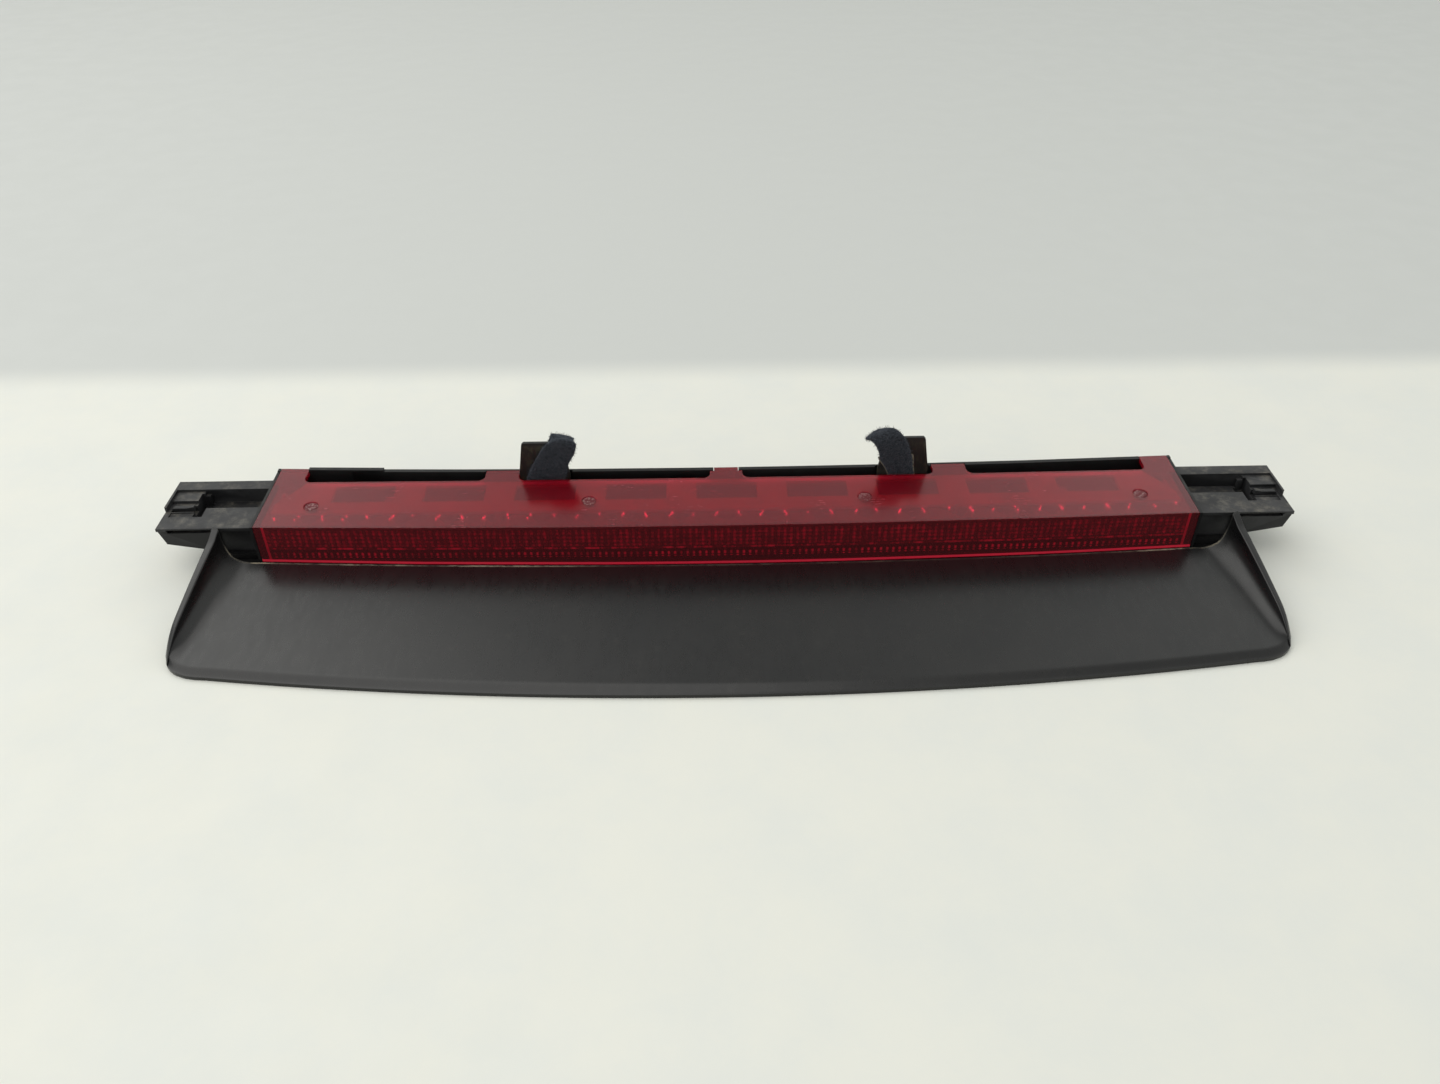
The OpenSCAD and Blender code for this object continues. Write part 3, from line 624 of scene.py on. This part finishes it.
def visor_row(v, top, steps, across):
    side = side_points(v, top, steps)
    width = outer_x(v)
    inside = width - lip_thick(v) - 0.12 - (SWEEP_R - 7 * v)
    places = [(-width + d, z) for d, z in side]
    for i in range(1, across):
        x = inside * (2 * i / across - 1)
        z = floor_top(x, v)
        places.append((x, z if top else max(0, z - VISOR_WALL)))
    places += [(width - d, z) for d, z in reversed(side)]
    return [at(x, rear_y(x) + (front_y(x) - rear_y(x)) * v, z) for x, z in places]


def make_visor():
    steps, across = 12, 110
    rows = [0, 0.012, 0.03] + [0.03 + 0.89 * i / 34 for i in range(1, 35)]
    rows += [0.93, 0.94, 0.95, 0.96, 0.972, 0.984, 0.993, 1]
    top = [visor_row(v, True, steps, across) for v in rows]
    low = [visor_row(v, False, steps, across) for v in rows]
    m, n = len(rows), len(top[0])
    points = [p for row in top + low for p in row]
    under = m * n
    faces, dusty = [], []
    for j in range(m - 1):
        for i in range(n - 1):
            a, b = j * n + i, (j + 1) * n + i
            faces += [(a, b, b + 1, a + 1), (a + under, a + 1 + under, b + 1 + under, b + under)]
            dusty += [j == 0, False]
    rim = ([i for i in range(n - 1)] + [j * n + n - 1 for j in range(m - 1)]
           + [(m - 1) * n + i for i in range(n - 1, 0, -1)] + [j * n for j in range(m - 1, 0, -1)])
    for k, a in enumerate(rim):
        b = rim[(k + 1) % len(rim)]
        faces.append((a, b, b + under, a + under))
        dusty.append(k < n - 1)
    visor = new_piece("visor_shell", points, faces, visor_plastic(), dusty_edge())
    for polygon, flag in zip(visor.data.polygons, dusty):
        polygon.material_index = 1 if flag else 0
    repair = bmesh.new()
    repair.from_mesh(visor.data)
    bmesh.ops.recalc_face_normals(repair, faces=repair.faces)
    repair.to_mesh(visor.data)
    repair.free()
    modifier(visor, "BEVEL", width=0.3 * MM, segments=3, limit_method="ANGLE", angle_limit=math.radians(48))
    settle(visor)
    arms = []
    for x in ARM_X:
        front = bow(x, FRONT_BOW) - 9
        side = (x - ARM_W / 2, x + ARM_W / 2)
        arms.append((side, (front, ARM_SCREW_Y + 5), (ARM_LOW, ARM_TOP)))
        arms.append((side, (front, front + 6.5), (ARM_LOW + 0.01, floor_top(x, 0.1) - 1.2)))
    for k, arm in enumerate(arms):
        combine(visor, solid_boxes(f"arm_{k}", [arm]), "UNION")
    for k, x in enumerate(ARM_X):
        hole = solid_cylinder(f"hole_{k}", x, ARM_SCREW_Y, ARM_LOW - 1, ARM_TOP + 1, 1.8)
        combine(visor, hole, "DIFFERENCE")
    shade(visor, 40)
    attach(visor, "lamp")
    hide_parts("visor")


# ---------------------------------------------------------------- lens

FLUTE = 2.5                                       # width of one flute of the front optics
FRONT_WALL = 2.2
FLUTE_DEPTH = 0.45


def flute_relief(x, z):
    """How far the inner face stands behind the front wall: flutes above, pillows below."""
    across = abs(math.sin(math.pi * x / FLUTE))
    if z > 16:
        return FLUTE_DEPTH * math.sqrt(across)
    up = abs(math.sin(math.pi * (z - 11.6) / 2.1 + math.pi / 2))
    return FLUTE_DEPTH * math.sqrt(across * up)


def make_flutes():
    """A slab whose rear face carries the optics; it is united with the lens's front wall."""
    flutes, steps = 146, 6
    reach = flutes * FLUTE / 2
    columns = [-reach + i * FLUTE / steps for i in range(flutes * steps + 1)]
    levels = [LENS_FOOT + 1 + 0.35 * i for i in range(27)] + [16.4, 18, 20, 22, 23.6]
    n = len(columns)
    back = [at(x, FRONT_WALL + bow(x, FRONT_BOW) + 0.02 + flute_relief(x, z), z)
            for z in levels for x in columns]
    front = [at(x, FRONT_WALL + bow(x, FRONT_BOW) - 0.8, z) for z in levels for x in columns]
    faces = []
    for j in range(len(levels) - 1):
        for i in range(n - 1):
            a, b = j * n + i, (j + 1) * n + i
            c, d = a + len(back), b + len(back)
            faces += [(a, b, b + 1, a + 1), (c, c + 1, d + 1, d)]
    m = len(levels)
    rim = ([i for i in range(n - 1)] + [j * n + n - 1 for j in range(m - 1)]
           + [(m - 1) * n + i for i in range(n - 1, 0, -1)] + [j * n for j in range(m - 1, 0, -1)])
    for k, a in enumerate(rim):
        b = rim[(k + 1) % len(rim)]
        faces.append((a, b, b + len(back), a + len(back)))
    slab = new_piece("flutes", back + front, faces)
    work = bmesh.new()
    work.from_mesh(slab.data)
    bmesh.ops.recalc_face_normals(work, faces=work.faces)
    work.to_mesh(slab.data)
    work.free()
    return slab


def make_lens():
    mesh = nodes["outer_lens"].data.copy()
    mesh.materials.clear()
    mesh.materials.append(lens_plastic())
    mesh.materials.append(front_optics())
    lens = bpy.data.objects.new("lens_shell", mesh)
    bpy.context.scene.collection.objects.link(lens)
    modifier(lens, "WELD", merge_threshold=1e-6)
    modifier(lens, "DECIMATE", decimate_type="DISSOLVE", angle_limit=math.radians(0.5))
    modifier(lens, "BEVEL", width=0.45 * MM, segments=3, limit_method="ANGLE", angle_limit=math.radians(40))
    settle(lens)
    combine(lens, make_flutes(), "UNION")
    for polygon in lens.data.polygons:
        centre = polygon.center
        depth = (centre.y - LENS_Y) / MM - bow(centre.x / MM, FRONT_BOW)
        in_front = depth < FRONT_WALL + FLUTE_DEPTH + 0.1 and centre.z / MM < LENS_TOP - 0.2
        inside = abs(centre.x / MM) < HALF - 0.2
        polygon.material_index = 1 if in_front and inside else 0
    shade(lens, 35)
    modifier(lens, "WEIGHTED_NORMAL", keep_sharp=True)
    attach(lens, "lamp")
    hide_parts("outer_lens")


def make_glints():
    """Small bright facets along the optic bar's rear edge, in slanting rows of three, which glow by their
    own emission as painted glints.
    """
    points, faces = [], []
    rings, sides = 5, 8
    draw = random.Random(3)
    for i in range(2 * CELLS):
        x = (i - (2 * CELLS - 1) / 2) * CELL / 2 + draw.uniform(-0.6, 0.6)
        lean = 0.55 if i % 2 else -0.35
        for step in (-1, 0, 1):
            if draw.random() < 0.25:
                continue
            radius = draw.uniform(0.22, 0.42)
            y = 10.4 + 1.05 * step + bow(x, MIDDLE_BOW)
            middle = Vector((x + lean * step, y, 21.65))
            base = len(points)
            for r in range(rings + 1):
                tilt = math.pi * r / rings
                for k in range(sides):
                    turn = 2 * math.pi * k / sides
                    points.append(at(middle.x + radius * math.sin(tilt) * math.cos(turn),
                                     middle.y + radius * math.sin(tilt) * math.sin(turn),
                                     middle.z + radius * math.cos(tilt)))
            for r in range(rings):
                for k in range(sides):
                    a, b = base + r * sides + k, base + r * sides + (k + 1) % sides
                    faces.append((a, a + sides, b + sides, b))
    beads = new_piece("glint_beads", points, faces, glinting())
    work = bmesh.new()
    work.from_mesh(beads.data)
    bmesh.ops.remove_doubles(work, verts=work.verts, dist=1e-7)
    work.to_mesh(beads.data)
    work.free()
    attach(beads, "lamp")


# ---------------------------------------------------------------- felt strips

FELT_THICK = 1.3
CROWN = 1.9                                       # how far the middle of a fold stands above its ends

# Rungs of each strip from its foot to its free end: left edge, right edge
LEFT_RUNGS = [((-83.9, 33.4, 22.6), (-67.9, 33.4, 22.6)), ((-82.0, 33.3, 28.2), (-66.8, 33.2, 26.6)),
              ((-78.8, 33.2, 34.0), (-65.3, 33.0, 32.0)), ((-75.7, 33.1, 39.4), (-62.5, 32.8, 37.2)),
              ((-73.9, 33.2, 41.0), (-61.6, 33.0, 40.8)), ((-72.0, 34.5, 41.9), (-62.8, 34.9, 41.6)),
              ((-72.0, 37.2, 43.6), (-62.8, 37.2, 41.0)), ((-73.6, 37.9, 39.6), (-64.6, 37.9, 36.6)),
              ((-75.0, 37.8, 36.0), (-66.0, 37.8, 33.4))]
RIGHT_RUNGS = [((68.8, 33.4, 22.6), (78.9, 33.4, 22.6)), ((67.0, 33.3, 27.0), (77.9, 33.3, 27.8)),
               ((64.3, 33.3, 31.4), (77.3, 33.2, 32.4)), ((63.1, 33.1, 35.6), (75.6, 33.1, 37.2)),
               ((61.4, 33.0, 39.2), (73.6, 33.4, 41.8)), ((59.4, 34.0, 40.6), (69.6, 35.4, 45.0)),
               ((58.4, 35.6, 40.2), (64.6, 37.4, 44.0)), ((58.0, 36.8, 39.4), (61.6, 38.4, 41.6))]


def along(rungs, t):
    """The strip's left and right edge at t, from 0 to 1, on a smooth curve through the rungs."""
    place = t * (len(rungs) - 1)
    k = min(int(place), len(rungs) - 2)
    f = place - k
    ends = []
    for side in (0, 1):
        p = [Vector(rungs[min(max(k + d, 0), len(rungs) - 1)][side]) for d in (-1, 0, 1, 2)]
        ends.append(0.5 * (2 * p[1] + (p[2] - p[0]) * f + (2 * p[0] - 5 * p[1] + 4 * p[2] - p[3]) * f * f
                           + (3 * p[1] - p[0] - 3 * p[2] + p[3]) * f ** 3))
    return ends


def strip_sheet(name, rungs, thick, offset, fuzz, inset, stop, *materials):
    """A ribbon through the rungs, set off from them along its normal, with a matted surface."""
    long_steps, wide_steps = 56, 22
    middle = []
    for j in range(long_steps + 1):
        left, right = along(rungs, stop * j / long_steps)
        row = [left.lerp(right, inset + (1 - 2 * inset) * i / wide_steps) for i in range(wide_steps + 1)]
        crest = CROWN * math.sin(math.pi * stop * j / long_steps) ** 4
        for i, place in enumerate(row):
            place.z += crest * 4 * i / wide_steps * (1 - i / wide_steps)
        middle.append(row)

    def normal(j, i):
        ahead, behind = min(j + 1, long_steps), max(j - 1, 0)
        further, nearer = min(i + 1, wide_steps), max(i - 1, 0)
        along_strip = middle[ahead][i] - middle[behind][i]
        across = middle[j][further] - middle[j][nearer]
        return across.cross(along_strip).normalized()

    points, faces = [], []
    n = wide_steps + 1
    for face in (1, -1):
        for j in range(long_steps + 1):
            for i in range(n):
                p, out = middle[j][i], normal(j, i)
                rounding = 1 - 0.55 * max(0, 2 * abs(i / wide_steps - 0.5) - 0.86) / 0.14
                end = 1 - 0.5 * max(0, j / long_steps - 0.965) / 0.035
                matted = fuzz * (noise.noise(p * 1.3) + 0.6 * noise.noise(p * 3.1))
                points.append(p + out * (offset + face * (thick / 2 * rounding * end) + matted))
    sheet = len(points) // 2
    for j in range(long_steps):
        for i in range(wide_steps):
            a, b = j * n + i, (j + 1) * n + i
            faces += [(a, a + 1, b + 1, b), (a + sheet, b + sheet, b + 1 + sheet, a + 1 + sheet)]
    rim = ([i for i in range(n - 1)] + [j * n + n - 1 for j in range(long_steps)]
           + [long_steps * n + i for i in range(n - 1, 0, -1)] + [j * n for j in range(long_steps, 0, -1)])
    for k, a in enumerate(rim):
        b = rim[(k + 1) % len(rim)]
        faces.append((a, a + sheet, b + sheet, b))
    piece = new_piece(name, [at(*p) for p in points], faces, *materials)
    work = bmesh.new()
    work.from_mesh(piece.data)
    bmesh.ops.recalc_face_normals(work, faces=work.faces)
    work.to_mesh(piece.data)
    work.free()
    shade(piece, 80)
    return piece


def nap(name, felt, count, seed, material):
    """Loose fibres on the felt: thin curved blades that stand out at all angles."""
    draw = random.Random(seed)
    polygons = [p for p in felt.data.polygons]
    total = [0]
    for p in polygons:
        total.append(total[-1] + p.area)
    points, faces = [], []
    for _ in range(count):
        pick = draw.random() * total[-1]
        low, high = 0, len(polygons) - 1
        while low < high:
            middle = (low + high) // 2
            low, high = (low, middle) if total[middle + 1] > pick else (middle + 1, high)
        polygon = polygons[low]
        corners = [felt.data.vertices[i].co for i in polygon.vertices]
        root = corners[0].lerp(corners[1], draw.random()).lerp(corners[2].lerp(corners[3], draw.random()),
                                                               draw.random())
        lean = Vector((draw.gauss(0, 1), draw.gauss(0, 1), draw.gauss(0, 1))).normalized()
        way = (polygon.normal + 0.9 * lean).normalized()
        length = draw.uniform(0.4, 1.3) * MM
        side = way.cross(lean).normalized() * 0.06 * MM
        bend = lean * length * 0.35
        base = len(points)
        points += [root - side, root + side, root + way * length * 0.55 + bend * 0.3 + side * 0.7,
                   root + way * length * 0.55 + bend * 0.3 - side * 0.7, root + way * length + bend]
        faces += [(base, base + 1, base + 2, base + 3), (base + 3, base + 2, base + 4)]
    return new_piece(name, points, faces, material)


def make_felts():
    cloth = felt_cloth("felt", (0.006, 0.007, 0.010), (0.038, 0.041, 0.050))
    fibre = felt_cloth("felt_fibre", (0.022, 0.025, 0.032), (0.11, 0.118, 0.135))
    paper = tape_backing()
    for side, rungs, flat_width, flat_length in (("left", LEFT_RUNGS, 0.0145, 0.035),
                                                 ("right", RIGHT_RUNGS, 0.0125, 0.029)):
        body = "rear_tab_" + side
        strip = strip_sheet("felt_strip_" + side, rungs, FELT_THICK, 0, 0.16, 0, 1, cloth)
        fibres = nap("felt_nap_" + side, strip, 5200, 7 if side == "left" else 11, fibre)
        overhang = -0.06 if side == "right" else 0.03
        backing = strip_sheet("felt_backing_" + side, rungs, 0.14, -FELT_THICK / 2 - 0.02, 0, overhang,
                              0.32, paper)
        for piece, slot in ((strip, "felt"), (fibres, "felt"), (backing, "felt")):
            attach(piece, body)
        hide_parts("felt_" + side)


# ---------------------------------------------------------------- pieces that keep their CAD shape

def finish_node(name, material, edge):
    """Gives a CAD node its material and softly rounded edges, without touching its mesh's points."""
    node = nodes[name]
    node.data.materials.clear()
    node.data.materials.append(material)
    node.data.polygons.foreach_set("material_index", [0] * len(node.data.polygons))
    node.data.polygons.foreach_set("use_smooth", [True] * len(node.data.polygons))
    modifier(node, "WELD", merge_threshold=1e-6)
    modifier(node, "DECIMATE", decimate_type="DISSOLVE", angle_limit=math.radians(0.5))
    modifier(node, "BEVEL", width=edge * MM, segments=2, limit_method="ANGLE", angle_limit=math.radians(30))
    modifier(node, "WEIGHTED_NORMAL", keep_sharp=True)


def finish_nodes(tab):
    black = moulded("housing_plastic", (0.005, 0.005, 0.0055), 0.42, worn=0.2, dusty=0.05)
    block = moulded("block_plastic", (0.013, 0.013, 0.014), 0.42, grain=0.5, worn=0.5, dusty=0.36)
    finish_node("housing", black, 0.25)
    finish_node("connector_socket", black, 0.2)
    for side in ("left", "right"):
        finish_node("end_block_" + side, block, 0.3)
        finish_node("snap_tongue_" + side, block, 0.2)
        finish_node("rear_tab_" + side, tab, 0.2)
    finish_node("inner_optic", clear_optic(), 0.2)
    finish_node("reflector_frame", frame_plastic(), 0.2)
    finish_node("circuit_board", board_laminate(), 0.12)
    finish_node("leds", led_resin(), 0.08)
    epoxy = component_epoxy()
    for name in ("resistors", "diodes", "voltage_regulator"):
        finish_node(name, epoxy, 0.1)
    finish_node("capacitors", bare_metal("capacitor_can", (0.75, 0.76, 0.78), 0.25, (0.5, 0.5, 0.5)), 0.2)
    finish_node("terminal_pins", bare_metal("pin_metal", (0.8, 0.76, 0.66), 0.2, (0.5, 0.46, 0.36)), 0.1)
    steel = bare_metal("screw_steel", (0.55, 0.55, 0.56), 0.3, (0.28, 0.26, 0.24))
    for name in ("visor_screws", "end_block_screws", "board_screws"):
        finish_node(name, steel, 0.12)
    finish_node("lens_stakes", stake_plastic(), 0.25)


def make_ground():
    size = 6
    corners = [(-size, -size, 0), (size, -size, 0), (size, size, 0), (-size, size, 0)]
    ground = new_piece("ground", corners, [(0, 1, 2, 3)], ground_paint())


make_camera()
make_lights()
make_ground()
make_visor()
make_lens()
make_glints()
make_felts()
finish_nodes(tab_plastic())
